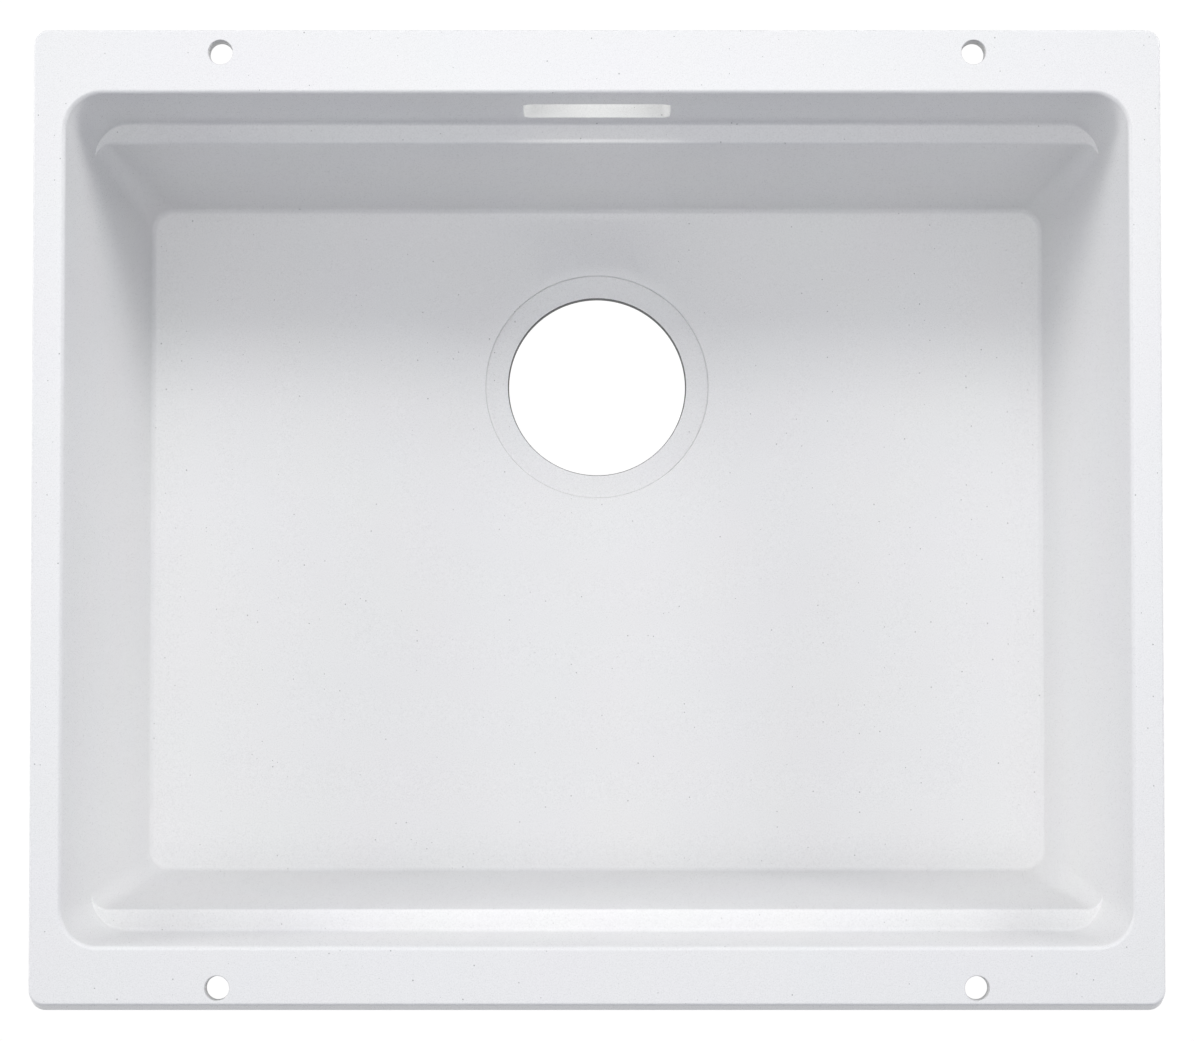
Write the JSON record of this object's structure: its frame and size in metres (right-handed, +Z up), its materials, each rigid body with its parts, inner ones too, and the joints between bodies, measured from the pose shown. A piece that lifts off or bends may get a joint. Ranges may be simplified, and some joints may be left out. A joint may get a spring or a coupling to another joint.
{
  "type": "undermount kitchen sink",
  "caption": "Rectangular cast composite undermount kitchen sink with long ledges inside the bowl, an open drain hole and a screwed-on overflow housing.",
  "frame": {"origin": "on the plane that the base stands on, under the middle of the flange", "axes": "+X along the worktop to the right, +Y to the back of the sink, +Z up"},
  "size_m": [0.53, 0.46, 0.21],
  "materials": {
    "composite": "fine-grained satin white composite with sparse dark specks, smoother inside than outside",
    "milky_plastic": "natural moulded polypropylene, milky and translucent",
    "rubber": "matt black moulded rubber",
    "stainless_steel": "bright cold-formed stainless steel",
    "brass": "turned brass"
  },
  "bodies": {
    "root": {"sink_bowl": "composite", "overflow_gasket": "rubber", "overflow_housing": "milky_plastic", "threaded_insert_left": "brass", "housing_washer_left": "stainless_steel", "housing_screw_left": "stainless_steel", "threaded_insert_right": "brass", "housing_washer_right": "stainless_steel", "housing_screw_right": "stainless_steel"}
  },
  "joints": []
}
